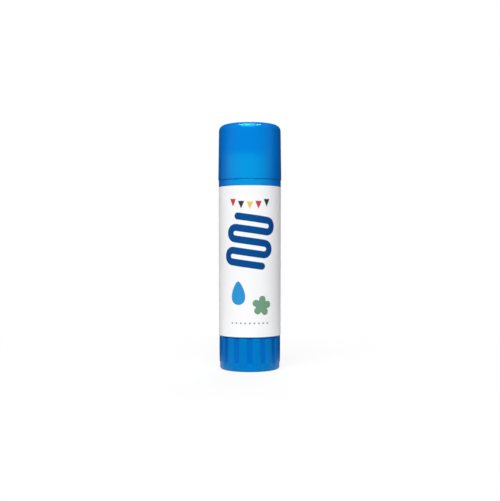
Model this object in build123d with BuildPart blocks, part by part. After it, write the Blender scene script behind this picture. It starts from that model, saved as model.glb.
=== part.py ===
# Twist-up glue stick: turning the ribbed knob drives a coarse screw that lifts the glue out of its barrel.
# Millimetres, +Z up, origin at the middle of the foot.
import os
from math import cos, degrees, radians, sin, tan

from build123d import *

os.makedirs("parts", exist_ok=True)

# Walls and clearances, from the bore outwards
bore_radius = 12.8
neck_wall = 0.95
cap_clearance = 0.35
cap_wall = 1.15
cap_overhang = 0.25
barrel_draft = 0.2
knob_inset = 0.12
rib_height = 0.35
knob_wall = 1.15
tail_clearance = 0.28
tail_wall = 1.2

# Heights, from the foot upwards
knob_height = 15.7
knob_gap = 0.4
barrel_height = 74.3
cap_height = 26.6

# Cap
cap_roof = 1.5
cap_headroom = 2.8
cap_draft = 0.35
cap_corner_round = 3.0
cap_corner_chord_count = 5
cap_rim_chamfer = 0.25
cap_lead_in = 0.4
seal_clearance = 0.25
seal_thickness = 1.1
seal_depth = 0.6

# Click bead on the neck and click ring in the cap
click_rise = 4.0
click_height = 1.2
click_depth = 0.15
click_clearance = 0.08
click_drop = 0.3

# Barrel
collar_height = 3.25
label_margin = 0.3
shoulder_chamfer = 0.4
lip_chamfer = 0.3
end_wall = 1.6
end_wall_rise = 1.4
tail_end_gap = 2.9
tail_chamfer = 0.3
guide_count = 4
guide_height = 0.65
guide_width = 1.2
guide_set_back = 7.7

# Label
label_thickness = 0.1
label_bond = 0.05
label_seam = 0.4

# Knob
rib_count = 14
groove_share = 0.39
rib_foot_z = 3.2
rib_crown_top = 0.06
rib_crown_foot = 0.16
rib_top_chamfer = 0.3
foot_round = 1.15
foot_chord_count = 3
foot_rim = 1.8
foot_recess = 0.8
knob_floor = 1.4
hub_wall = 1.9

# Snap bead on the barrel's tail and snap ring in the knob
snap_rise = 1.8
snap_height = 1.2
snap_depth = 0.18
snap_clearance = 0.08
snap_gap = 0.15

# Spindle, with its screw as a plain rod at the crest of the ridge
lead = 8.0
crest_radius = 4.3
journal_step = 0.3
journal_clearance = 0.1
flange_overhang = 1.4
flange_height = 1.5
thrust_gap = 0.3
root_flat = 3.1
tip_chamfer = 1.0

# Carrier
carrier_rest_gap = 0.3
carrier_clearance = 0.3
wiper_clearance = 0.15
wiper_height = 1.0
carrier_floor = 1.4
cup_height = 10.0
nut_height = 8.0
nut_wall = 1.85
thread_clearance = 0.25
guide_clearance = 0.25
notch_web = 0.4
web_count = 4
web_thickness = 0.9
web_height = 4.0

# Glue
glue_clearance = 0.3
glue_set_back = 1.6
glue_edge = 0.7
glue_edge_chord_count = 2
glue_over_spindle = 5.7
spindle_clearance = 0.35
spindle_end_gap = 0.5

# One overrun for every cut and every root that is sunk into its wall
overrun = 0.4

# Radii that follow, from the bore outwards
neck_radius = bore_radius + neck_wall
cap_bore_radius = neck_radius + cap_clearance
cap_radius = cap_bore_radius + cap_wall
crown_radius = cap_radius - cap_draft
barrel_radius = cap_radius - cap_overhang
barrel_foot_radius = barrel_radius - barrel_draft
knob_radius = barrel_foot_radius - knob_inset
ring_radius = knob_radius - rib_height
skirt_radius = ring_radius - knob_wall
tail_radius = skirt_radius - tail_clearance
tail_bore_radius = tail_radius - tail_wall

# Radii that follow, from the screw outwards
journal_radius = crest_radius + journal_step
bearing_radius = journal_radius + journal_clearance
flange_radius = journal_radius + flange_overhang
hub_radius = root_flat + hub_wall
nut_bore_radius = crest_radius + thread_clearance
nut_radius = nut_bore_radius + nut_wall
glue_bore_radius = crest_radius + spindle_clearance

# Radii that follow, from the bore inwards
carrier_radius = bore_radius - carrier_clearance
wiper_radius = bore_radius - wiper_clearance
glue_radius = bore_radius - glue_clearance
seal_radius = bore_radius - seal_clearance
guide_radius = bore_radius - guide_height
notch_radius = guide_radius - guide_clearance
notch_width = guide_width + 2 * guide_clearance
cup_radius = notch_radius - notch_web

# Heights that follow
knob_floor_z = foot_recess + knob_floor
barrel_low_z = knob_height + knob_gap
shoulder_z = barrel_low_z + barrel_height
cap_top_z = shoulder_z + cap_height
ceiling_z = cap_top_z - cap_roof
mouth_z = ceiling_z - cap_headroom
label_low_z = barrel_low_z + label_margin
label_top_z = shoulder_z - collar_height
end_wall_top_z = barrel_low_z + end_wall_rise
end_wall_low_z = end_wall_top_z - end_wall
tail_low_z = knob_floor_z + tail_end_gap
hub_top_z = end_wall_low_z - thrust_gap - flange_height
guide_top_z = mouth_z - guide_set_back
carrier_low_z = end_wall_top_z + carrier_rest_gap
cup_floor_z = carrier_low_z + carrier_floor
cup_top_z = carrier_low_z + cup_height
nut_top_z = carrier_low_z + nut_height
glue_top_z = mouth_z - glue_set_back
glue_bore_end_z = glue_top_z - glue_over_spindle
spindle_top_z = glue_bore_end_z - spindle_end_gap


def barrel_radius_at(z):
    """Radius of the drafted outside of the barrel at a height."""
    height_share = (z - barrel_low_z) / barrel_height
    return barrel_foot_radius + barrel_draft * height_share


def drafted_wall(foot, top):
    """A long wall of slight draft in a half section, drawn as one shallow curve."""
    middle = ((foot[0] + top[0]) / 2, (foot[1] + top[1]) / 2)
    Bezier(foot, middle, top)


def round_corner(radius, height, size, chord_count, side=1):
    """Points of the round that takes off an outer corner at a radius and a height, above or below it."""
    turns = [radians(90 * chord / chord_count) for chord in range(chord_count + 1)]
    return [(radius - size + size * cos(turn), height + side * size * (sin(turn) - 1)) for turn in turns]


# Cap: drafted shell with a rounded crown, a click ring near its rim and a plug ring that closes the mouth
click_low_z = shoulder_z + click_rise
ring_top_z = click_low_z - click_drop
ring_low_z = ring_top_z - click_height
click_ring_radius = neck_radius + click_depth + click_clearance
seal_low_z = mouth_z - seal_depth

with BuildPart() as cap:
    with BuildSketch(Plane.XZ):
        with BuildLine():
            drafted_wall(
                (cap_radius, shoulder_z + cap_rim_chamfer),
                (crown_radius, cap_top_z - cap_corner_round),
            )
            Polyline(
                *round_corner(crown_radius, cap_top_z, cap_corner_round, cap_corner_chord_count),
                (0, cap_top_z),
                (0, ceiling_z),
                (seal_radius - seal_thickness, ceiling_z),
                (seal_radius - seal_thickness, seal_low_z),
                (seal_radius, seal_low_z),
                (seal_radius, ceiling_z),
                (cap_bore_radius, ceiling_z),
                (cap_bore_radius, ring_top_z),
                (click_ring_radius, ring_top_z - click_height / 2),
                (cap_bore_radius, ring_low_z),
                (cap_bore_radius, shoulder_z + cap_lead_in),
                (cap_bore_radius + cap_lead_in, shoulder_z),
                (cap_radius - cap_rim_chamfer, shoulder_z),
                (cap_radius, shoulder_z + cap_rim_chamfer),
            )
        make_face()
    revolve(axis=Axis.Z)
cap.part.label = "cap"

# Barrel: drafted body with a label panel, neck and click bead above, end wall and snap tail below
snap_low_z = tail_low_z + snap_rise
panel_depth = label_thickness + label_bond

with BuildPart() as barrel:
    with BuildSketch(Plane.XZ):
        with BuildLine():
            drafted_wall(
                (barrel_radius_at(label_low_z) - panel_depth, label_low_z),
                (barrel_radius_at(label_top_z) - panel_depth, label_top_z),
            )
            Polyline(
                (barrel_radius_at(label_top_z) - panel_depth, label_top_z),
                (barrel_radius_at(label_top_z), label_top_z),
                (barrel_radius, shoulder_z - shoulder_chamfer),
                (barrel_radius - shoulder_chamfer, shoulder_z),
                (neck_radius, shoulder_z),
                (neck_radius, click_low_z),
                (neck_radius + click_depth, click_low_z + click_height / 2),
                (neck_radius, click_low_z + click_height),
                (neck_radius, mouth_z - lip_chamfer),
                (neck_radius - lip_chamfer, mouth_z),
                (bore_radius, mouth_z),
                (bore_radius, end_wall_top_z),
                (bearing_radius, end_wall_top_z),
                (bearing_radius, end_wall_low_z),
                (tail_bore_radius, end_wall_low_z),
                (tail_bore_radius, tail_low_z),
                (tail_radius - tail_chamfer, tail_low_z),
                (tail_radius, tail_low_z + tail_chamfer),
                (tail_radius, snap_low_z),
                (tail_radius + snap_depth, snap_low_z + snap_height / 2),
                (tail_radius, snap_low_z + snap_height),
                (tail_radius, barrel_low_z),
                (barrel_foot_radius, barrel_low_z),
                (barrel_radius_at(label_low_z), label_low_z),
                (barrel_radius_at(label_low_z) - panel_depth, label_low_z),
            )
        make_face()
    revolve(axis=Axis.Z)
    # Guide ribs down the bore keep the carrier from turning
    with BuildSketch(Plane.XY.offset(end_wall_top_z)):
        with PolarLocations(bore_radius, guide_count):
            Rectangle(2 * guide_height, guide_width)
        Circle(bore_radius + neck_wall / 2, mode=Mode.INTERSECT)
    extrude(amount=guide_top_z - end_wall_top_z)
barrel.part.label = "barrel"

# Label: a thin film wrapped round the panel, with its seam at the back
with BuildPart() as label:
    with BuildSketch(Plane.YZ):
        with BuildLine():
            film_foot = (barrel_radius_at(label_low_z), label_low_z)
            film_top = (barrel_radius_at(label_top_z), label_top_z)
            back_foot = (barrel_radius_at(label_low_z) - label_thickness, label_low_z)
            back_top = (barrel_radius_at(label_top_z) - label_thickness, label_top_z)
            drafted_wall(film_foot, film_top)
            Line(film_top, back_top)
            drafted_wall(back_top, back_foot)
            Line(back_foot, film_foot)
        make_face()
    revolve(axis=Axis.Z, revolution_arc=360 - degrees(label_seam / barrel_radius))
label.part.label = "label"

# Twist knob: ribbed skirt over the barrel's tail, with a snap ring and a six-sided socket for the spindle
snap_ring_low_z = snap_low_z + snap_height + snap_gap
snap_ring_radius = tail_radius + snap_clearance
rib_foot_radius = knob_radius - rib_crown_foot
rib_top_radius = knob_radius - rib_crown_top
rib_crown_radius = 2 * knob_radius - (rib_foot_radius + rib_top_radius) / 2
rib_top_z = knob_height - rib_top_chamfer
rim_inner_radius = ring_radius - foot_round - foot_rim
groove_half_angle = radians(groove_share * 360 / rib_count / 2)
groove_reach = knob_radius + overrun

with BuildPart() as twist_knob:
    with BuildSketch(Plane.XZ):
        with BuildLine():
            Bezier(
                (rib_foot_radius, rib_foot_z + rib_height / 2),
                (rib_crown_radius, (rib_foot_z + rib_top_z) / 2),
                (rib_top_radius, rib_top_z),
            )
            Polyline(
                (rib_top_radius, rib_top_z),
                (rib_top_radius - rib_top_chamfer, knob_height),
                (skirt_radius, knob_height),
                (skirt_radius, snap_ring_low_z + snap_height),
                (snap_ring_radius, snap_ring_low_z + snap_height / 2),
                (skirt_radius, snap_ring_low_z),
                (skirt_radius, knob_floor_z),
                (0, knob_floor_z),
                (0, foot_recess),
                (rim_inner_radius, foot_recess),
                (rim_inner_radius, 0),
                *reversed(round_corner(ring_radius, 0, foot_round, foot_chord_count, side=-1)),
                (ring_radius, rib_foot_z),
                (rib_foot_radius, rib_foot_z + rib_height / 2),
            )
        make_face()
    revolve(axis=Axis.Z)
    # Grooves between the ribs, down to the plain ring at the foot
    with BuildSketch(Plane.XY.offset(rib_foot_z)):
        with PolarLocations(0, rib_count, start_angle=-90):
            Polygon(
                (0, 0),
                (groove_reach, -groove_reach * tan(groove_half_angle)),
                (groove_reach, groove_reach * tan(groove_half_angle)),
                align=None,
            )
        Circle(ring_radius, mode=Mode.SUBTRACT)
    extrude(amount=knob_height - rib_foot_z, mode=Mode.SUBTRACT)
    # Hub with its socket
    with BuildSketch(Plane.XY.offset(knob_floor_z)):
        Circle(hub_radius)
        RegularPolygon(root_flat, 6, major_radius=False, mode=Mode.SUBTRACT)
    extrude(amount=hub_top_z - knob_floor_z)
twist_knob.part.label = "twist_knob"

# Spindle: six-sided root, thrust flange, journal in the end wall, and the screw as a plain rod
flange_top_z = hub_top_z + flange_height

with BuildPart() as spindle:
    with BuildSketch(Plane.XZ):
        with BuildLine():
            Polyline(
                (0, hub_top_z),
                (flange_radius, hub_top_z),
                (flange_radius, flange_top_z),
                (journal_radius, flange_top_z),
                (journal_radius, end_wall_top_z),
                (crest_radius, end_wall_top_z),
                (crest_radius, spindle_top_z - tip_chamfer),
                (crest_radius - tip_chamfer, spindle_top_z),
                (0, spindle_top_z),
                close=True,
            )
        make_face()
    revolve(axis=Axis.Z)
    with BuildSketch(Plane.XY.offset(knob_floor_z)):
        RegularPolygon(root_flat, 6, major_radius=False)
    extrude(amount=hub_top_z - knob_floor_z)
spindle.part.label = "spindle"

# Carrier: a cup with a wiping lip, notched round the guide ribs, and a plain-bored nut in its middle
web_reach = cup_radius - nut_radius + 2 * overrun
web_middle_radius = (cup_radius + nut_radius) / 2
web_start_angle = 180 / web_count

with BuildPart() as carrier:
    with BuildSketch(Plane.XZ):
        with BuildLine():
            Polyline(
                (nut_bore_radius, carrier_low_z),
                (carrier_radius, carrier_low_z),
                (carrier_radius, cup_top_z - wiper_height),
                (wiper_radius, cup_top_z - wiper_height / 2),
                (wiper_radius, cup_top_z),
                (cup_radius, cup_top_z),
                (cup_radius, cup_floor_z),
                (nut_radius, cup_floor_z),
                (nut_radius, nut_top_z),
                (nut_bore_radius, nut_top_z),
                close=True,
            )
        make_face()
    revolve(axis=Axis.Z)
    with BuildSketch(Plane.XY.offset(cup_floor_z)):
        with PolarLocations(web_middle_radius, web_count, start_angle=web_start_angle):
            Rectangle(web_reach, web_thickness)
    extrude(amount=web_height)
    with BuildSketch(Plane.XY.offset(carrier_low_z)):
        with PolarLocations(notch_radius, guide_count):
            Rectangle(guide_height + guide_clearance + overrun, notch_width, align=(Align.MIN, Align.CENTER))
    extrude(amount=cup_height, mode=Mode.SUBTRACT)
carrier.part.label = "carrier"

# Glue: a cast stick keyed round the carrier's nut and webs, grooved by the guide ribs, bored for the spindle
with BuildPart() as glue:
    with BuildSketch(Plane.XZ):
        with BuildLine():
            Polyline(
                (nut_radius, cup_floor_z),
                (cup_radius, cup_floor_z),
                (cup_radius, cup_top_z),
                (glue_radius, cup_top_z),
                *round_corner(glue_radius, glue_top_z, glue_edge, glue_edge_chord_count),
                (0, glue_top_z),
                (0, glue_bore_end_z),
                (glue_bore_radius, glue_bore_end_z),
                (glue_bore_radius, nut_top_z),
                (nut_radius, nut_top_z),
                close=True,
            )
        make_face()
    revolve(axis=Axis.Z)
    with BuildSketch(Plane.XY.offset(cup_floor_z)):
        with PolarLocations(web_middle_radius, web_count, start_angle=web_start_angle):
            Rectangle(web_reach, web_thickness)
    extrude(amount=web_height, mode=Mode.SUBTRACT)
    with BuildSketch(Plane.XY.offset(cup_top_z)):
        with PolarLocations(notch_radius, guide_count):
            Rectangle(guide_height + guide_clearance, notch_width, align=(Align.MIN, Align.CENTER))
    extrude(amount=guide_top_z + guide_clearance - cup_top_z, mode=Mode.SUBTRACT)
glue.part.label = "glue"

# Travel of the carrier while its nut stays on the screw, and how far the cap lifts to clear the neck
nut_hold = nut_height * 3 / 4
travel = spindle_top_z - tip_chamfer - nut_hold - carrier_low_z
print("carrier travel", round(travel, 3), "turns", round(travel / lead, 3))
print("cap clears the mouth after", round(mouth_z - shoulder_z, 3))

for piece in (cap, barrel, label, twist_knob, spindle, carrier, glue):
    export_step(piece.part, f"parts/{piece.part.label}.step")
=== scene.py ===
"""Looks of the twist-up glue stick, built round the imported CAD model.

Sizes are millimetres in the model's own frame unless a name says otherwise: +Z up, origin at the foot,
-Y towards the camera. Each piece is put into metres when its mesh is made.
"""
import math

import bmesh
import bpy
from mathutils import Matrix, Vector


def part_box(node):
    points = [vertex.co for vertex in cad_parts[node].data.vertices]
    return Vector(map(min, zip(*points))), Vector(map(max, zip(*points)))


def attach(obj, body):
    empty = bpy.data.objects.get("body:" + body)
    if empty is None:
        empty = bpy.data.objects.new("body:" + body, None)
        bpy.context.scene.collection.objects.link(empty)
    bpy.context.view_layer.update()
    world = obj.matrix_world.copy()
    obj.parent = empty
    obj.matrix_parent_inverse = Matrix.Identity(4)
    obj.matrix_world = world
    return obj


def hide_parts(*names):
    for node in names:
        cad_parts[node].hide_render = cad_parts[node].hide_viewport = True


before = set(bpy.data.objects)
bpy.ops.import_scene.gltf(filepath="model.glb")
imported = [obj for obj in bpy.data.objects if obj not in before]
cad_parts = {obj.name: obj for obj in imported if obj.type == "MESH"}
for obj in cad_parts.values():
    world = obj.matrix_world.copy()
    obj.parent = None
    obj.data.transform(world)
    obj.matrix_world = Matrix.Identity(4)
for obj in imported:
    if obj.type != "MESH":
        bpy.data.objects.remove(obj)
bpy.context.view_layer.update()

MM = 0.001
TURN = 2 * math.pi
FRONT = -TURN / 4

# Heights and radii of the pieces, read from the frame where a box gives them
cap_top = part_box("cap")[1].z / MM
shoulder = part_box("cap")[0].z / MM
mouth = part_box("barrel")[1].z / MM
tail_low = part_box("barrel")[0].z / MM
label_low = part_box("label")[0].z / MM
label_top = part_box("label")[1].z / MM
knob_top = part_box("twist_knob")[1].z / MM
glue_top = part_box("glue")[1].z / MM
spindle_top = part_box("spindle")[1].z / MM
spindle_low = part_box("spindle")[0].z / MM
cap_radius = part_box("cap")[1].x / MM
barrel_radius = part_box("barrel")[1].x / MM
glue_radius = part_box("glue")[1].x / MM
flange_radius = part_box("spindle")[1].x / MM

ROUND_STEPS = 7
SEGMENTS = 180
CREASE_DEGREES = 40
MERGE_DISTANCE = 1e-7
ON_AXIS = 1e-6

# Bend of an edge, in radians a millimetre, at which it begins to be worn and at which it is worn fully
WEAR_FROM = 1.0
WEAR_FULL = 4.0
LEAST_SPAN = 0.01


# Mesh helpers


def smooth_step(value):
    """Rises from 0 to 1 without a corner at either end."""
    value = min(max(value, 0), 1)
    return value * value * (3 - 2 * value)


def rounded(corners):
    """Profile points of (radius, height, round) corners, each corner with a round replaced by its arc."""
    points = []
    for index, (radius, height, size) in enumerate(corners):
        here = Vector((radius, height))
        if size == 0 or index in (0, len(corners) - 1):
            points.append(here)
            continue
        back = (Vector(corners[index - 1][:2]) - here).normalized()
        ahead = (Vector(corners[index + 1][:2]) - here).normalized()
        half = back.angle(ahead) / 2
        reach = size / math.tan(half)
        middle = here + (back + ahead).normalized() * (size / math.sin(half))
        start = here + back * reach - middle
        sweep = start.angle_signed(here + ahead * reach - middle)
        for step in range(ROUND_STEPS + 1):
            turn = -sweep * step / ROUND_STEPS
            cos, sin = math.cos(turn), math.sin(turn)
            points.append(middle + Vector((start.x * cos - start.y * sin, start.x * sin + start.y * cos)))
    return points


def edge_wear(bm):
    """For each vertex, how much an edge there stands out and gets rubbed: from 0 on flats to 1 on tight rounds."""
    shares = []
    for vertex in bm.verts:
        bends = []
        for edge in vertex.link_edges:
            if edge.is_manifold:
                first, second = (face.calc_center_median() for face in edge.link_faces)
                bends.append(edge.calc_face_angle_signed(0) / max((first - second).length / MM, LEAST_SPAN))
        shares.append(smooth_step((max(bends, default=0) - WEAR_FROM) / (WEAR_FULL - WEAR_FROM)))
    return shares


def finished(name, bm, body, replaced=None, material=None):
    """Turns a bmesh into a piece that rides on a body, with its hard edges kept."""
    bmesh.ops.remove_doubles(bm, verts=bm.verts, dist=MERGE_DISTANCE)
    bmesh.ops.recalc_face_normals(bm, faces=bm.faces)
    wear = edge_wear(bm)
    mesh = bpy.data.meshes.new(name)
    bm.to_mesh(mesh)
    bm.free()
    mesh.attributes.new("wear", "FLOAT", "POINT").data.foreach_set("value", wear)
    mesh.shade_smooth()
    mesh.set_sharp_from_angle(angle=math.radians(CREASE_DEGREES))
    piece = bpy.data.objects.new(name, mesh)
    bpy.context.scene.collection.objects.link(piece)
    if material:
        mesh.materials.append(material)
    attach(piece, body)
    if replaced:
        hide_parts(replaced)
    return piece


def around(angle, reach, height):
    """A point at an angle round the axis, in metres."""
    return reach * math.cos(angle) * MM, reach * math.sin(angle) * MM, height * MM


def ring_of(bm, radius, height, segments, relief=None):
    """A ring of vertices round the axis, or one vertex on it. Relief gives each angle its own radius."""
    if radius < ON_AXIS:
        return [bm.verts.new(around(0, 0, height))]
    ring = []
    for step in range(segments):
        angle = FRONT + TURN * step / segments
        reach = radius + (relief(angle) if relief else 0)
        ring.append(bm.verts.new(around(angle, reach, height)))
    return ring


def bridge(bm, first, second):
    """Faces between two rings, either of which may be a single vertex."""
    count = max(len(first), len(second))
    for step in range(count):
        after = (step + 1) % count
        if len(first) == 1:
            bm.faces.new((first[0], second[after], second[step]))
        elif len(second) == 1:
            bm.faces.new((first[step], first[after], second[0]))
        else:
            bm.faces.new((first[step], first[after], second[after], second[step]))


def skin(bm, rings):
    """Faces from each ring of a row of rings to the next."""
    for first, second in zip(rings, rings[1:]):
        bridge(bm, first, second)


def flat(profile):
    """A profile as (radius, height, share) points that carry no relief."""
    return [(point.x, point.y, 0) for point in profile]


def flat_rings(height, end):
    """Corners a millimetre apart on a flat round the gate mark, up to an end radius, for even shading."""
    return [(radius, height, 0) for radius in range(3, end)]


def lathe(bm, profile, segments=SEGMENTS, relief=None):
    """A skin turned round the axis. A profile point may carry a share of the relief as its third number."""
    rings = []
    for point in profile:
        share = point[2] if len(point) > 2 else 0
        form = (lambda angle, share=share: share * relief(angle)) if relief and share else None
        rings.append(ring_of(bm, point[0], point[1], segments, form))
    skin(bm, rings)


# Materials

# Numbers of the sockets that a Mix node has for colours: two inputs and an output
FIRST_COLOUR, SECOND_COLOUR, MIXED_COLOUR = 6, 7, 2


def material_base(name):
    """A new material with its nodes, links and shader, and the model's own coordinates."""
    material = bpy.data.materials.new(name)
    material.use_nodes = True
    nodes, links = material.node_tree.nodes, material.node_tree.links
    shader = nodes["Principled BSDF"]
    place = nodes.new("ShaderNodeTexCoord").outputs["Object"]
    return material, nodes, links, shader, place


def feed(links, socket, value):
    """Gives a socket the output of a node, or else a plain value."""
    if isinstance(value, bpy.types.NodeSocket):
        links.new(value, socket)
    else:
        socket.default_value = value


def combine(nodes, links, operation, first, second):
    """One number made of two."""
    node = nodes.new("ShaderNodeMath")
    node.operation = operation
    feed(links, node.inputs[0], first)
    feed(links, node.inputs[1], second)
    return node.outputs["Value"]


def mix_colours(nodes, links, factor, first, second, blend_type="MIX"):
    """One colour made of two."""
    node = nodes.new("ShaderNodeMix")
    node.data_type = "RGBA"
    node.blend_type = blend_type
    feed(links, node.inputs["Factor"], factor)
    feed(links, node.inputs[FIRST_COLOUR], first)
    feed(links, node.inputs[SECOND_COLOUR], second)
    return node.outputs[MIXED_COLOUR]


def mix_shaders(nodes, links, share, first, second, target):
    """Shows the second shader for that share, and else the first, at the output node."""
    node = nodes.new("ShaderNodeMixShader")
    links.new(share, node.inputs["Fac"])
    links.new(first, node.inputs[1])
    links.new(second, node.inputs[2])
    links.new(node.outputs["Shader"], target.inputs["Surface"])


def part_of(nodes, links, vector, axis):
    """The X, Y or Z of a vector."""
    node = nodes.new("ShaderNodeSeparateXYZ")
    links.new(vector, node.inputs[0])
    return node.outputs[axis]


def attribute(nodes, name):
    """A number that the mesh carries at each vertex."""
    node = nodes.new("ShaderNodeAttribute")
    node.attribute_name = name
    return node.outputs["Fac"]


def noise(nodes, links, place, scale, detail=2.0, roughness=0.5, stretch=(1, 1, 1)):
    """A noise of the model's own coordinates; the scale is in features a metre."""
    mapping = nodes.new("ShaderNodeMapping")
    mapping.inputs["Scale"].default_value = stretch
    links.new(place, mapping.inputs["Vector"])
    texture = nodes.new("ShaderNodeTexNoise")
    texture.inputs["Scale"].default_value = scale
    texture.inputs["Detail"].default_value = detail
    texture.inputs["Roughness"].default_value = roughness
    links.new(mapping.outputs["Vector"], texture.inputs["Vector"])
    return texture.outputs["Fac"]


def ramp(nodes, links, value, low, high, start=0.3, end=0.7):
    """Maps a value between start and end to a range of numbers, or of colours where low is a colour."""
    if isinstance(low, tuple):
        blend = nodes.new("ShaderNodeValToRGB")
        blend.color_ramp.elements[0].position = start
        blend.color_ramp.elements[1].position = end
        blend.color_ramp.elements[0].color = (*low, 1)
        blend.color_ramp.elements[1].color = (*high, 1)
        links.new(value, blend.inputs["Fac"])
        return blend.outputs["Color"]
    span = nodes.new("ShaderNodeMapRange")
    span.inputs["From Min"].default_value = start
    span.inputs["From Max"].default_value = end
    span.inputs["To Min"].default_value = low
    span.inputs["To Max"].default_value = high
    links.new(value, span.inputs["Value"])
    return span.outputs["Result"]


def bump(nodes, links, shader, height, depth, previous=None):
    """Adds relief of a depth in metres to a shader's normal."""
    node = nodes.new("ShaderNodeBump")
    node.inputs["Strength"].default_value = 1.0
    node.inputs["Distance"].default_value = depth
    links.new(height, node.inputs["Height"])
    if previous:
        links.new(previous, node.inputs["Normal"])
    links.new(node.outputs["Normal"], shader.inputs["Normal"])
    return node.outputs["Normal"]


def shade(colour, factor):
    """A colour made darker or lighter."""
    return tuple(min(1.0, channel * factor) for channel in colour)


def moulded_plastic(name, colour, sheen_colour, roughness, specular, grain=9e-6, edge=1.25, rib_painted_light=None):
    """Injection-moulded plastic: faint flow clouds, fine grain, hairline scuffs and slightly paler worn edges.

    With a colour for the ribs' painted light, the crowns of the ribs and the plain foot ring are painted paler
    than the grooves by that factor of each colour: a painted highlight on them, with painted shade left in the
    grooves.
    """
    material, nodes, links, shader, place = material_base(name)
    clouds = noise(nodes, links, place, 55, detail=3)
    base = ramp(nodes, links, clouds, shade(colour, 0.96), shade(colour, 1.04))
    # Painted light: the knob's rib crowns and plain foot ring are painted paler than its grooves, a painted
    # highlight over painted shade in the grooves.
    if rib_painted_light:
        lift = ramp(nodes, links, attribute(nodes, "rib"), (1, 1, 1), rib_painted_light, 0.0, 1.0)
        base = mix_colours(nodes, links, 1.0, base, lift, "MULTIPLY")
    worn = ramp(nodes, links, attribute(nodes, "wear"), 0.0, 0.7, 0.0, 1.0)
    rub = ramp(nodes, links, noise(nodes, links, place, 900, detail=4), 0.35, 1.0)
    rubbed = combine(nodes, links, "MULTIPLY", worn, rub)
    base = mix_colours(nodes, links, rubbed, base, (*shade(colour, edge), 1))
    links.new(base, shader.inputs["Base Color"])
    smudges = noise(nodes, links, place, 130, detail=4, roughness=0.6)
    links.new(ramp(nodes, links, smudges, roughness * 0.86, roughness * 1.16), shader.inputs["Roughness"])
    shader.inputs["Specular IOR Level"].default_value = specular
    shader.inputs["Specular Tint"].default_value = (*sheen_colour, 1)
    grain_relief = bump(nodes, links, shader, noise(nodes, links, place, 2600, detail=3), grain)
    scuffs = noise(nodes, links, place, 700, detail=2, stretch=(1, 1, 0.04))
    bump(nodes, links, shader, ramp(nodes, links, scuffs, 0.0, 1.0, 0.62, 0.7), grain * 0.5, grain_relief)
    return material


def printed_film(name, colour, roughness=0.36, sheen_colour=(1, 1, 1)):
    """Printed film: a nearly even colour with the faint waviness of a glued-on wrapper."""
    material, nodes, links, shader, place = material_base(name)
    tone = noise(nodes, links, place, 240, detail=3)
    links.new(ramp(nodes, links, tone, shade(colour, 0.985), shade(colour, 1.0)), shader.inputs["Base Color"])
    sheen = noise(nodes, links, place, 90, detail=3)
    links.new(ramp(nodes, links, sheen, roughness * 0.9, roughness * 1.12), shader.inputs["Roughness"])
    shader.inputs["Specular IOR Level"].default_value = 0.3
    shader.inputs["Specular Tint"].default_value = (*sheen_colour, 1)
    shader.inputs["Diffuse Roughness"].default_value = 0.7
    waves = bump(nodes, links, shader, noise(nodes, links, place, 60, detail=2), 1.6e-5)
    bump(nodes, links, shader, noise(nodes, links, place, 3200, detail=2), 2.5e-6, waves)
    return material


def waxy_glue(name, colour):
    """Cast glue: soft, slightly see-through, with dull smears and tiny pits."""
    material, nodes, links, shader, place = material_base(name)
    tone = noise(nodes, links, place, 160, detail=4)
    links.new(ramp(nodes, links, tone, shade(colour, 0.95), shade(colour, 1.02)), shader.inputs["Base Color"])
    smears = noise(nodes, links, place, 210, detail=4, stretch=(1, 1, 0.3))
    links.new(ramp(nodes, links, smears, 0.38, 0.62), shader.inputs["Roughness"])
    shader.inputs["Specular IOR Level"].default_value = 0.4
    shader.inputs["Subsurface Weight"].default_value = 0.55
    shader.inputs["Subsurface Radius"].default_value = (1.0, 0.85, 0.6)
    shader.inputs["Subsurface Scale"].default_value = 0.0016
    soft = bump(nodes, links, shader, noise(nodes, links, place, 300, detail=4), 4e-5)
    pits = noise(nodes, links, place, 1500, detail=1)
    bump(nodes, links, shader, ramp(nodes, links, pits, 0.0, 1.0, 0.3, 0.42), 3e-5, soft)
    return material


BLUE_SHEEN = (0.02, 1.0, 0.6)
NAVY_SHEEN = (0.1, 0.8, 1.0)
WHITE_SHEEN = (1, 1, 1)
INK_ROUGHNESS = 0.4
blue_gloss = moulded_plastic("blue_gloss_plastic", (0.0004, 0.171, 0.635), BLUE_SHEEN,
                             roughness=0.11, specular=0.5, grain=8e-7)
# The knob's colour carries painted light: its rib crowns and plain foot ring are painted paler than its grooves.
blue_knob = moulded_plastic("blue_knob_plastic", (0.0004, 0.106, 0.465), BLUE_SHEEN,
                            roughness=0.2, specular=0.42, grain=1.5e-6, rib_painted_light=(1.0, 1.42, 1.07))
white_plastic = moulded_plastic("natural_white_plastic", (0.80, 0.80, 0.77), WHITE_SHEEN,
                                roughness=0.42, specular=0.45, edge=1.05)
film_white = printed_film("label_film", (0.90, 0.90, 0.91))
ink_navy = printed_film("label_ink_navy", (0.0004, 0.052, 0.27), INK_ROUGHNESS, NAVY_SHEEN)
ink_cyan = printed_film("label_ink_cyan", (0.006, 0.30, 0.64), INK_ROUGHNESS)
ink_green = printed_film("label_ink_green", (0.165, 0.34, 0.215), INK_ROUGHNESS)
ink_grey = printed_film("label_ink_grey", (0.33, 0.33, 0.35), INK_ROUGHNESS)
ink_black = printed_film("label_ink_black", (0.012, 0.012, 0.013), INK_ROUGHNESS)
ink_red = printed_film("label_ink_red", (0.56, 0.03, 0.035), INK_ROUGHNESS)
ink_yellow = printed_film("label_ink_yellow", (0.86, 0.56, 0.12), INK_ROUGHNESS)
glue_wax = waxy_glue("glue_wax", (0.84, 0.825, 0.735))

# Cap: rounded crown with a gate mark, click ring near the rim, seal ring under the roof

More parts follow.
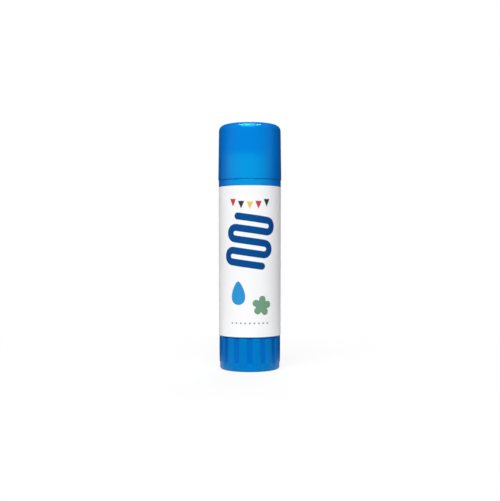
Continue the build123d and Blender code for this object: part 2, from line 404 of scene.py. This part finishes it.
cap_draft = 0.35
cap_bore = 14.1
cap_roof = 1.5
crown_round = 3.0
rim_round = 0.06
lead_in = 0.4
click_bead_low = 4.0
click_half = 0.6
click_bead_height = 0.15
ring_low = shoulder + click_bead_low - 1.5
ring_height = 0.12
seal_outer = 12.55
seal_inner = 11.45
seal_low = mouth - 0.6
ceiling = cap_top - cap_roof
gate_radius = 1.3
gate_depth = 0.22
gate_slope = 0.35
gate_stub_radius = 0.5
gate_stub_draft = 0.05
gate_stub_top = cap_top - gate_depth * 0.4

bm = bmesh.new()
lathe(bm, rounded([
    (0, gate_stub_top, 0),
    (gate_stub_radius - gate_stub_draft, gate_stub_top, 0.05),
    (gate_stub_radius, cap_top - gate_depth, 0.05),
    (gate_radius, cap_top - gate_depth, 0.15),
    (gate_radius + gate_slope, cap_top, 0.2),
    *flat_rings(cap_top, 12),
    (cap_radius - cap_draft, cap_top, crown_round),
    (cap_radius, shoulder, rim_round),
    (cap_bore + lead_in, shoulder, 0.12),
    (cap_bore, shoulder + lead_in, 0.2),
    (cap_bore, ring_low, 0.3),
    (cap_bore - ring_height, ring_low + click_half, 0.3),
    (cap_bore, ring_low + 2 * click_half, 0.3),
    (cap_bore, ceiling, 0.9),
    (seal_outer, ceiling, 0.3),
    (seal_outer, seal_low, 0.35),
    (seal_inner, seal_low, 0.35),
    (seal_inner, ceiling, 0.4),
    (0, ceiling, 0),
]))
finished("cap_shell", bm, "cap", "cap", blue_gloss)

# Barrel: drafted body with a panel for the label, neck, click bead, lip, end wall and snap tail

barrel_low = 16.1
barrel_foot = 14.8
panel_depth = 0.13
neck = 13.75
bore = 12.8
bearing = 4.7
end_wall_low = 15.9
end_wall_top = 17.5
tail = 12.9
tail_bore = 11.7
tail_lead_in = 0.3
snap_low = tail_low + 1.8
snap_half = 0.6
snap_height = 0.18
film_edge = 0.02
collar_low = shoulder - 0.45
collar_high = shoulder - 0.15
collar_fall = 0.1
guide_top = 105.0
guide_height = 0.65
guide_width = 1.2
guide_count = 4
guide_taper = 0.7
guide_root = 0.2


def barrel_radius_at(height):
    """The barrel's side narrows a little towards its foot."""
    return barrel_foot + (barrel_radius - barrel_foot) * (height - barrel_low) / (shoulder - barrel_low)


bm = bmesh.new()
lathe(bm, rounded([
    (bearing, end_wall_low, 0),
    (tail_bore, end_wall_low, 0.3),
    (tail_bore, tail_low, 0.25),
    (tail - tail_lead_in, tail_low, 0.1),
    (tail, tail_low + tail_lead_in, 0.1),
    (tail, snap_low, 0.2),
    (tail + snap_height, snap_low + snap_half, 0.3),
    (tail, snap_low + 2 * snap_half, 0.2),
    (tail, barrel_low, 0.2),
    (barrel_foot, barrel_low, 0.15),
    (barrel_radius_at(label_low), label_low - film_edge, 0.03),
    (barrel_radius_at(label_low) - panel_depth, label_low - film_edge / 2, 0),
    (barrel_radius_at(label_top) - panel_depth, label_top + film_edge / 2, 0),
    (barrel_radius_at(label_top), label_top + film_edge, 0.03),
    (barrel_radius, collar_low, 0.3),
    (barrel_radius - 0.8 * collar_fall, collar_high, 0.2),
    (barrel_radius - collar_fall, shoulder, 0.02),
    (neck, shoulder, 0.2),
    (neck, shoulder + click_bead_low, 0.3),
    (neck + click_bead_height, shoulder + click_bead_low + click_half, 0.4),
    (neck, shoulder + click_bead_low + 2 * click_half, 0.3),
    (neck, mouth, 0.42),
    (bore, mouth, 0.3),
    (bore, end_wall_top, 0.4),
    (bearing, end_wall_top, 0.1),
    (bearing, end_wall_low, 0),
]))
for index in range(guide_count):
    turn = TURN * index / guide_count
    along = Vector((math.cos(turn), math.sin(turn), 0))
    across = Vector((-along.y, along.x, 0)) * guide_width / 2
    root, crest_reach = bore + guide_root, bore - guide_height
    foot = [along * reach + side * across for reach, side in
            ((root, -1), (crest_reach, -guide_taper), (crest_reach, guide_taper), (root, 1))]
    low_ring = [bm.verts.new((point + Vector((0, 0, end_wall_top - 0.1))) * MM) for point in foot]
    top_ring = [bm.verts.new((point + Vector((0, 0, guide_top))) * MM) for point in foot]
    bridge(bm, low_ring, top_ring)
    bm.faces.new(top_ring)
    bm.faces.new(low_ring)
finished("barrel_body", bm, "barrel", "barrel", blue_gloss)

# Label: one wrapped film whose end laps over its start at the back

film_thickness = 0.1
lap_length = 2.6
lap_height = 0.07
lap_rise_share = 0.35
film_rows = 36
film_columns = 240


def film_lift(share):
    """How far the film stands out at a share of the way round, which is only where its end laps over."""
    lap_share = lap_length / (TURN * barrel_radius)
    return lap_height * smooth_step((share - 1 + lap_share) / (lap_share * lap_rise_share))


def on_barrel(arc, height, lift):
    """A point of the barrel's side, from an arc length to the right of the front's middle and a height."""
    angle = FRONT + arc / barrel_radius
    reach = barrel_radius_at(height) + lift
    return Vector((reach * math.cos(angle), reach * math.sin(angle), height)) * MM


bm = bmesh.new()
outer, inner = [], []
for column in range(film_columns + 1):
    share = column / film_columns
    arc = (share - 0.5) * TURN * barrel_radius
    outer_column, inner_column = [], []
    for row in range(film_rows + 1):
        height = label_low + (label_top - label_low) * row / film_rows
        lift = film_lift(share)
        outer_column.append(bm.verts.new(on_barrel(arc, height, lift)))
        inner_column.append(bm.verts.new(on_barrel(arc, height, lift - film_thickness)))
    outer.append(outer_column)
    inner.append(inner_column)
for column in range(film_columns):
    for row in range(film_rows):
        for sheet in (outer, inner):
            left, right = sheet[column], sheet[column + 1]
            bm.faces.new((left[row], right[row], right[row + 1], left[row + 1]))
    for row in (0, film_rows):
        bm.faces.new((outer[column][row], outer[column + 1][row], inner[column + 1][row], inner[column][row]))
for column in (0, film_columns):
    for row in range(film_rows):
        bm.faces.new((outer[column][row], outer[column][row + 1], inner[column][row + 1], inner[column][row]))
finished("label_film", bm, "barrel", "label", film_white)

# Print on the label: a generic design at the front, which stands once more, narrower, round the side

ink_lift = 0.012
ink_step = 0.6
end_share = 0.999


def spaced(line):
    """The same line with points no further apart than the ink's step."""
    points = [Vector(line[0])]
    for before, after in zip(line, line[1:]):
        before, after = Vector(before), Vector(after)
        count = max(1, math.ceil((after - before).length / ink_step))
        points.extend(before.lerp(after, step / count) for step in range(1, count + 1))
    return points


def patch(bm, first_rail, second_rail):
    """A patch of ink between two rails of (arc, height) points."""
    lines = []
    span = max((Vector(a) - Vector(b)).length for a, b in zip(first_rail, second_rail))
    rows = math.ceil(span / ink_step)
    for row in range(rows + 1):
        share = row / rows
        lines.append([
            bm.verts.new(on_barrel(*(Vector(a) * (1 - share) + Vector(b) * share), ink_lift))
            for a, b in zip(first_rail, second_rail)
        ])
    for low_line, high_line in zip(lines, lines[1:]):
        for step in range(len(low_line) - 1):
            bm.faces.new((low_line[step], low_line[step + 1], high_line[step + 1], high_line[step]))


def fan(bm, centre, outline):
    """A patch of ink from a centre to a closed outline round it."""
    closed = spaced(list(outline) + [outline[0]])
    patch(bm, [centre] * len(closed), closed)


def circle(centre, radius, steps=40, start=0.0, sweep=TURN):
    """The outline of a circle, or an arc of it."""
    return [(centre[0] + radius * math.cos(start + sweep * step / steps),
             centre[1] + radius * math.sin(start + sweep * step / steps)) for step in range(steps + 1)]


def ribbon(bm, line, width):
    """A strip of ink along a line, with round ends that are a hair smaller, so that no points coincide."""
    line = spaced(line)
    left, right = [], []
    for index, point in enumerate(line):
        before, after = Vector(line[max(index - 1, 0)]), Vector(line[min(index + 1, len(line) - 1)])
        along = (after - before).normalized()
        side = Vector((-along.y, along.x)) * width / 2
        left.append(Vector(point) + side)
        right.append(Vector(point) - side)
    patch(bm, left, right)
    for end in (line[0], line[-1]):
        fan(bm, end, circle(end, width / 2 * end_share))


def serpentine(centre, half_run, spacing, runs, tilt):
    """A line that runs to and fro, with half circles between its runs."""
    points = []
    top = (runs - 1) * spacing / 2
    for run in range(runs):
        height = top - run * spacing
        side = 1 if run % 2 == 0 else -1
        points.extend([(-side * half_run, height), (side * half_run, height)])
        if run < runs - 1:
            bend = circle((side * half_run, height - spacing / 2), spacing / 2, 16, TURN / 4, -side * TURN / 2)
            points.extend(bend[1:-1])
    cos, sin = math.cos(tilt), math.sin(tilt)
    return [(centre[0] + x * cos - y * sin, centre[1] + x * sin + y * cos) for x, y in points]


def droplet(centre, radius, height, steps=48, narrowing=0.42):
    """An outline that is round below and drawn to a point above."""
    outline = []
    for step in range(steps):
        angle = TURN * step / steps
        rise = math.cos(angle)
        width = radius * math.sin(angle) * (1 - narrowing * (rise + 1) / 2) ** 1.5
        outline.append((centre[0] + width, centre[1] + rise * height / 2))
    return outline


def petals(centre, radius, dip, count, tilt, steps=72):
    """A flower-like outline of round petals."""
    outline = []
    for step in range(steps):
        angle = TURN * step / steps
        reach = radius * (1 - dip * (1 - abs(math.cos(count * (angle - tilt) / 2))) ** 1.3)
        outline.append((centre[0] + reach * math.sin(angle), centre[1] + reach * math.cos(angle)))
    return outline


def pennants(meshes, shift, half_run):
    """A hanging row of small flags, one colour after the other."""
    for index in range(5):
        share = (index - 2) / 2
        middle, height = shift + share * half_run * flag_spread, flag_height + flag_sag * share * share
        corners = [(middle - flag_half, height), (middle + flag_half, height), (middle, height - flag_drop)]
        fan(meshes[index % len(meshes)], (middle, height - flag_drop / 3), corners)


# Each place on the label is (arc from the design's middle, height); the designs are (shift, half a run)
designs = ((0, 7.4), (34.2, 5.2))
flag_height = 79.6
flag_sag = 1.3
flag_half = 1.55
flag_drop = 3.6
flag_spread = 1.12
line_height = 61.2
line_spacing = 5.4
line_runs = 5
line_tilt = math.radians(-8)
line_width = 3.3
drop_arc = -5.6
drop_fan_height = 35.6
drop_height = 36.9
flower_arc = 5.8
flower_height = 31.0
dot_height = 22.9
dot_radius = 0.45
dots_each_side = 4
bar_arc = -41
bar_lengths = (19, 16, 18, 12, 17, 14, 8)
bar_top = 66
bar_spacing = 2.6
bar_width = 0.7

navy_bm, cyan_bm, green_bm, grey_bm, black_bm, red_bm, yellow_bm = (bmesh.new() for _ in range(7))
for shift, half_run in designs:
    pennants((red_bm, black_bm, yellow_bm), shift, half_run)
    meander = serpentine((shift, line_height), half_run, line_spacing, line_runs, line_tilt)
    ribbon(navy_bm, meander, line_width)
    drop_middle = shift + drop_arc
    fan(cyan_bm, (drop_middle, drop_fan_height), droplet((drop_middle, drop_height), radius=4.6, height=11))
    flower = (shift + flower_arc, flower_height)
    fan(green_bm, flower, petals(flower, radius=4.7, dip=0.42, count=5, tilt=0.1))
    for index in range(-dots_each_side, dots_each_side + 1):
        spot = (shift + index * half_run / 3.4, dot_height)
        fan(grey_bm, spot, circle(spot, dot_radius, 16))
for index, length in enumerate(bar_lengths):
    height = bar_top - index * bar_spacing
    ribbon(grey_bm, [(bar_arc, height), (bar_arc + length, height)], bar_width)

for ink_name, ink_bm, ink in (
    ("label_print_navy", navy_bm, ink_navy),
    ("label_print_cyan", cyan_bm, ink_cyan),
    ("label_print_green", green_bm, ink_green),
    ("label_print_grey", grey_bm, ink_grey),
    ("label_print_black", black_bm, ink_black),
    ("label_print_red", red_bm, ink_red),
    ("label_print_yellow", yellow_bm, ink_yellow),
):
    finished(ink_name, ink_bm, "barrel", None, ink)

# Twist knob: crowned ribs with tapered grooves over a plain ring, snap ring in the skirt, six-sided socket's hub

rib_count = 14
groove_share = 0.39
rib_height = 0.35
groove_drop = 0.1
wall_share = 0.07
ring_radius = 14.33
rib_foot = 3.2
skirt = 13.18
knob_floor = 2.2
foot_recess = 0.8
rim_inner = 11.38
hub = 5.0
hub_top = 14.1
socket = 3.58
crown_foot_drop = 0.16
crown_top_drop = 0.06
rib_crown_fall = 0.16
rib_foot_rise = 0.45
rib_top_round = 0.35
rib_top_share = 0.15
snap_ring_low = 8.25
snap_ring_height = 0.2
# Length over which the plain foot ring's painted highlight fades into the ribbed part, and how far below the ribs'
# foot that fade starts
plain_fade = 1.6
plain_fade_below = 0.3
knob_segments = rib_count * 30


def rib_form(angle):
    """Height of the ribs at an angle: 1 on a rib and 0 in a groove, with slanted walls and a slight crown."""
    share = ((angle - FRONT) * rib_count / TURN) % 1
    from_groove = min(share, 1 - share)
    wall = smooth_step((from_groove - groove_share / 2 + wall_share / 2) / wall_share)
    from_middle = (0.5 - from_groove) / (0.5 - groove_share / 2)
    return wall * (1 - rib_crown_fall * from_middle ** 2)


def rib_relief(angle):
    """How far the ribbed part stands out from the plain ring at an angle: a little below it in the grooves."""
    return rib_form(angle) * (rib_height + groove_drop) - groove_drop


def rib_crown(height):
    """Share of the full rib height at a height on the knob: drawn in at the foot and the top."""
    share = (height - rib_foot) / (knob_top - rib_foot)
    bow = crown_foot_drop * (1 - share) ** 2 + crown_top_drop * share ** 2
    foot_rise = smooth_step((height - rib_foot) / rib_foot_rise)
    above = max(0.0, (height - knob_top + rib_top_round) / rib_top_round)
    top_fall = math.sqrt(max(0.0, 1 - above ** 2))
    return foot_rise * ((rib_height - bow) / rib_height * (rib_top_share + (1 - rib_top_share) * top_fall))


rib_middle = knob_top - rib_foot_rise - rib_top_round - rib_foot
rib_heights = [rib_foot + rib_foot_rise * step / 6 for step in range(1, 7)]
rib_heights += [rib_foot + rib_foot_rise + rib_middle * step / 16 for step in range(1, 17)]
rib_heights += [knob_top - rib_top_round * (1 - math.sin(TURN / 4 * step / 8)) for step in range(0, 9)]
outside = flat(rounded([(rim_inner, 0, 0), (ring_radius, 0, 1.15), (ring_radius, rib_foot, 0)]))
outside += [(ring_radius, height, rib_crown(height)) for height in rib_heights]
inside = flat(rounded([
    (ring_radius - 0.3, knob_top, 0),
    (skirt, knob_top, 0.25),
    (skirt, snap_ring_low + 2 * snap_half, 0.3),
    (skirt - snap_ring_height, snap_ring_low + snap_half, 0.3),
    (skirt, snap_ring_low, 0.3),
    (skirt, knob_floor, 0.5),
    (hub, knob_floor, 0.4),
    (hub, hub_top, 0.2),
    (socket, hub_top, 0.2),
    (socket, knob_floor, 0),
    (0, knob_floor, 0),
]))
underside = flat(rounded([
    (0, foot_recess + gate_depth, 0),
    (gate_radius, foot_recess + gate_depth, 0.15),
    (gate_radius + gate_slope, foot_recess, 0.2),
    *flat_rings(foot_recess, 11),
    (rim_inner, foot_recess, 0.3),
    (rim_inner, 0, 0.25),
    (rim_inner + 0.6, 0, 0),
]))
bm = bmesh.new()
lathe(bm, underside + outside[1:] + inside, segments=knob_segments, relief=rib_relief)
knob = finished("twist_knob_body", bm, "knob", "twist_knob", blue_knob)
# Painted light: each vertex's share of the painted highlight, 1 on the rib crowns and on the plain foot ring, 0 in
# the grooves, which keep the darker colour as painted shade, and 0 inside the skirt.
painted_light_share = knob.data.attributes.new("rib", "FLOAT", "POINT")
for vertex in knob.data.vertices:
    reach = math.hypot(vertex.co.x, vertex.co.y) / MM
    form = rib_form(math.atan2(vertex.co.y, vertex.co.x))
    plain = 1 - smooth_step((vertex.co.z / MM - rib_foot + plain_fade_below) / plain_fade)
    painted_light_share.data[vertex.index].value = max(form, plain) if reach > skirt + 0.2 else 0

# Spindle: six-sided root, thrust flange, journal and a left-hand ridge cut down from the rod's outside

lead = 8.0
crest = 4.3
core = 3.0
journal = 4.6
root_reach = 3.1
flange_low = hub_top
flange_high = 15.6
screw_low = end_wall_top
screw_top = spindle_top - 1.0
screw_fade = 1.5
turn_steps = 36
spindle_steps = 72
crest_edge = crest - 0.12
least_face = 1e-5

# The ridge's profile as (share of the lead, radius)
ridge_form = ((0.0, core), (0.06, core), (0.17, crest_edge), (0.2, crest), (0.32, crest), (0.35, crest_edge),
              (0.46, core), (0.6, core), (0.8, core))


def hexagon(bm, height):
    """A six-sided ring with one of its flats to the right."""
    corner = root_reach / math.cos(TURN / 12)
    return [bm.verts.new(around(TURN * (side + 0.5) / 6, corner, height)) for side in range(6)]


def screw(bm):
    """The ridge: each row of the profile drops as it goes round, and rows past the ends are held at them."""
    per_turn = len(ridge_form)
    rows = int((screw_top - screw_low) / lead + 2) * per_turn
    grid = []
    for row in range(rows + 1):
        share, radius = ridge_form[row % per_turn]
        start = screw_low + (row // per_turn + share) * lead
        line = []
        for step in range(turn_steps + 1):
            height = start - lead * step / turn_steps
            held = min(max(height, screw_low), screw_top)
            from_end = min(height - screw_low, screw_top - height)
            reach = core + (radius - core) * smooth_step(from_end / screw_fade)
            line.append(bm.verts.new(around(TURN * step / turn_steps, reach, held)))
        grid.append(line)
    for low_line, high_line in zip(grid, grid[1:]):
        for step in range(turn_steps):
            corners = (low_line[step], low_line[step + 1], high_line[step + 1], high_line[step])
            if max((a.co - b.co).length for a in corners for b in corners) > least_face:
                bm.faces.new(corners)


bm = bmesh.new()
foot_ring, top_ring = hexagon(bm, spindle_low), hexagon(bm, hub_top + 0.1)
bridge(bm, foot_ring, top_ring)
bm.faces.new(foot_ring)
lathe(bm, rounded([
    (0, flange_low, 0),
    (flange_radius, flange_low, 0.25),
    (flange_radius, flange_high, 0.25),
    (journal, flange_high, 0.1),
    (journal, end_wall_top, 0.2),
    (core - 0.1, end_wall_top + 0.02, 0),
]), segments=spindle_steps)
screw(bm)
lathe(bm, rounded([
    (core, screw_top - 0.05, 0),
    (core, spindle_top - 0.1, 0.6),
    (0, spindle_top, 0),
]), segments=spindle_steps)
finished("spindle_screw", bm, "knob", "spindle", white_plastic)

# Glue: a cast stick with a softly worn top and grooves down its sides from the guide ribs

cup_top = 27.8
cup_radius = 11.5
notch_depth = glue_radius - 11.9
notch_width = 1.7
notch_top = guide_top + 0.25
notch_wall = 0.25
glue_bore = 4.65
glue_foot = cup_top - 2
glue_face = glue_top - 0.14
bore_top = glue_top - 5.7
edge_round = 0.75
glue_steps = 240
top_rings = 12


def groove_form(angle):
    """Depth share of the four side grooves at an angle."""
    share = (angle * guide_count / TURN) % 1
    off = min(share, 1 - share) * TURN / guide_count * glue_radius
    return smooth_step((notch_width / 2 - off) / notch_wall + 0.5)


def top_wear(radius, angle):
    """Small unevenness of the used top."""
    tilt = 0.09 * math.sin(3 * angle + 0.4) * (radius / glue_radius) ** 2
    return tilt + 0.05 * math.cos(5 * angle + radius * 0.5)


bm = bmesh.new()
side = [(glue_radius, cup_top, -notch_depth)]
side += [(glue_radius, cup_top + (notch_top - cup_top) * step / 20, -notch_depth) for step in range(1, 21)]
side += [(glue_radius, notch_top + 0.15, 0)]
edge = rounded([(glue_radius, notch_top + 0.3, 0), (glue_radius, glue_face, edge_round), (0, glue_face, 0)])
inner_edge = edge[-2].x
foot = [(glue_bore, glue_foot, 0), (cup_radius, glue_foot, 0), (cup_radius, cup_top, 0)]
face = [(inner_edge * (1 - step / top_rings), glue_face, 0) for step in range(1, top_rings + 1)]
lathe(bm, foot + side + flat(edge[:-1]) + face, segments=glue_steps, relief=groove_form)
for vertex in bm.verts:
    radius = math.hypot(vertex.co.x, vertex.co.y) / MM
    height = vertex.co.z / MM
    if height > glue_top - 1:
        angle = math.atan2(vertex.co.y, vertex.co.x)
        near_top = smooth_step((height - glue_top + 0.9) / 0.7)
        vertex.co.z += top_wear(radius, angle) * near_top * MM
lathe(bm, [(glue_bore, glue_foot), (glue_bore, bore_top), (0, bore_top)], segments=glue_steps)
finished("glue_stick", bm, "carrier", "glue", glue_wax)

# Carrier: the CAD solid as it is, in natural white plastic

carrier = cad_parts["carrier"]
carrier.data.materials.clear()
carrier.data.materials.append(white_plastic)

# Stage: pale floor and white surroundings

# How far behind the object a direction points, from -1 in front to 1 straight behind, where the white seen in
# reflections fades out in front and comes back behind
front_fade = (-0.6, 0.1)
behind_fade = (0.95, 0.98)

# Tone of the floor for the light it sends back, near the object and far from it, and how far from the axis, in
# metres, it goes from one to the other and its shadow fades out
near_bounce = (0.60,) * 3
far_bounce = (0.05,) * 3
bounce_reach = (0.02, 0.065)
shadow_reach = (0.04, 0.2)
seen_floor = (0.9, 0.9, 0.9, 1)
white = (1, 1, 1, 1)


def seen_white(nodes, links, place):
    """1 for rays that see the surroundings as white: camera, transmission and glossy rays.

    Glossy rays see white in front of the object and straight behind it. Between the two stands a dark flag on each
    side, which keeps the edges of the plastic dark.
    """
    unit = nodes.new("ShaderNodeVectorMath")
    unit.operation = "NORMALIZE"
    links.new(place, unit.inputs[0])
    depth = part_of(nodes, links, unit.outputs["Vector"], "Y")
    front = ramp(nodes, links, depth, 1.0, 0.0, *front_fade)
    behind = ramp(nodes, links, depth, 0.0, 1.0, *behind_fade)
    unflagged = combine(nodes, links, "MAXIMUM", front, behind)
    path = nodes.new("ShaderNodeLightPath").outputs
    glossy = combine(nodes, links, "MULTIPLY", path["Is Glossy Ray"], unflagged)
    direct = combine(nodes, links, "MAXIMUM", path["Is Camera Ray"], path["Is Transmission Ray"])
    return combine(nodes, links, "MAXIMUM", direct, glossy)


floor_size = 6.0
floor_bm = bmesh.new()
bmesh.ops.create_grid(floor_bm, x_segments=1, y_segments=1, size=floor_size / 2)
floor_mesh = bpy.data.meshes.new("floor")
floor_bm.to_mesh(floor_mesh)
floor_bm.free()
floor = bpy.data.objects.new("floor", floor_mesh)
bpy.context.scene.collection.objects.link(floor)

floor_material = bpy.data.materials.new("pale_floor")
floor_material.use_nodes = True
nodes, links = floor_material.node_tree.nodes, floor_material.node_tree.links
nodes.remove(nodes["Principled BSDF"])
diffuse = nodes.new("ShaderNodeBsdfDiffuse")
glow = nodes.new("ShaderNodeEmission")
glow.inputs["Color"].default_value = white
floor_place = nodes.new("ShaderNodeTexCoord").outputs["Object"]
white_share = seen_white(nodes, links, floor_place)
length = nodes.new("ShaderNodeVectorMath")
length.operation = "LENGTH"
links.new(floor_place, length.inputs[0])
reach = length.outputs["Value"]
bounce = ramp(nodes, links, reach, near_bounce, far_bounce, *bounce_reach)
links.new(mix_colours(nodes, links, white_share, bounce, seen_floor), diffuse.inputs["Color"])
glow_share = combine(nodes, links, "MULTIPLY", white_share, ramp(nodes, links, reach, 0.8, 1.0, *shadow_reach))
mix_shaders(nodes, links, glow_share, diffuse.outputs["BSDF"], glow.outputs["Emission"], nodes["Material Output"])
floor_mesh.materials.append(floor_material)

world = bpy.data.worlds.new("studio")
bpy.context.scene.world = world
world.use_nodes = True
nodes, links = world.node_tree.nodes, world.node_tree.links
backdrop = nodes["Background"]
backdrop.inputs["Color"].default_value = white
backdrop.inputs["Strength"].default_value = 1.0
ambient = nodes.new("ShaderNodeBackground")
ambient.inputs["Color"].default_value = white
bearing = nodes.new("ShaderNodeTexCoord").outputs["Generated"]
depth = part_of(nodes, links, bearing, "Y")
links.new(ramp(nodes, links, depth, 0.45, 0.03, -0.6, 0.25), ambient.inputs["Strength"])
mix_shaders(nodes, links, seen_white(nodes, links, bearing),
            ambient.outputs["Background"], backdrop.outputs["Background"], nodes["World Output"])

# Lights: a large soft key above the camera, one behind that lights the back without a reflection, a bent row of
# low panels whose reflection fills the lower cap, and one overhead that is seen in reflections only, for the
# bright edge of the crown


def area_light(name, azimuth, elevation, distance, size, radiance, target=(0, 0, 0.06), diffuse=True, gloss=True):
    """A soft lamp at a direction from its target in degrees, where azimuth 0 is the camera's and right is +.

    Lengths are metres. It can be left out of the diffuse light or out of the reflections.
    """
    turn, rise = math.radians(azimuth), math.radians(elevation)
    away = Vector((math.sin(turn) * math.cos(rise), -math.cos(turn) * math.cos(rise), math.sin(rise)))
    data = bpy.data.lights.new(name, "AREA")
    data.shape = "RECTANGLE"
    data.size, data.size_y = size
    data.energy = radiance * 4 * size[0] * size[1]
    lamp = bpy.data.objects.new(name, data)
    lamp.location = Vector(target) + away * distance
    lamp.rotation_mode = "QUATERNION"
    lamp.rotation_quaternion = away.to_track_quat("Z", "Y")
    lamp.visible_diffuse = diffuse
    lamp.visible_glossy = gloss
    bpy.context.scene.collection.objects.link(lamp)
    return data


def fade_sideways(data):
    """Makes a lamp brightest in its middle and dark at its left and right edges."""
    data.use_nodes = True
    nodes, links = data.node_tree.nodes, data.node_tree.links
    across = part_of(nodes, links, nodes.new("ShaderNodeNewGeometry").outputs["Parametric"], "X")
    away = nodes.new("ShaderNodeMath")
    away.operation = "ABSOLUTE"
    links.new(combine(nodes, links, "SUBTRACT", across, 0.5), away.inputs[0])
    links.new(ramp(nodes, links, away.outputs["Value"], 1.0, 0.0, 0.0, 0.5), nodes["Emission"].inputs["Strength"])


soft_box = (0.6, 0.4)
panel_box = (0.746, 0.207)
panel_radiance = 1.86
panel_target = (0, 0, 0.1035)
area_light("key", -8, 48, 0.8, soft_box, 5.8)
area_light("back", 172, 38, 0.8, soft_box, 4.2, gloss=False)
for azimuth, share in (
    (-100, 0.12), (-75, 0.5), (-50, 0.8), (-25, 1.0),
    (0, 1.0), (25, 0.88), (50, 0.48), (75, 0.12),
):
    fade_sideways(area_light("panel", azimuth, 0, 0.8, panel_box, panel_radiance * share, panel_target))
area_light("overhead", 0, 75, 0.62, (0.62, 0.13), 22.0, (0, 0, 0.115), diffuse=False)

# Camera: level, at the middle of the stick's height, as the photograph's outlines give it

camera_distance = 0.410
camera_height = 0.0584
focal_pixels = 850
frame_long_side = 501
sensor_width = 36.0
camera_data = bpy.data.cameras.new("camera")
camera_data.sensor_width = sensor_width
camera_data.lens = focal_pixels / frame_long_side * sensor_width
camera_data.shift_x = 0.0004
camera_data.shift_y = -0.0068
camera_data.clip_start = 0.01
camera = bpy.data.objects.new("camera", camera_data)
camera.location = (0, -camera_distance, camera_height)
camera.rotation_euler = (TURN / 4, 0, 0)
bpy.context.scene.collection.objects.link(camera)
bpy.context.scene.camera = camera

bpy.context.scene.view_settings.view_transform = "Standard"
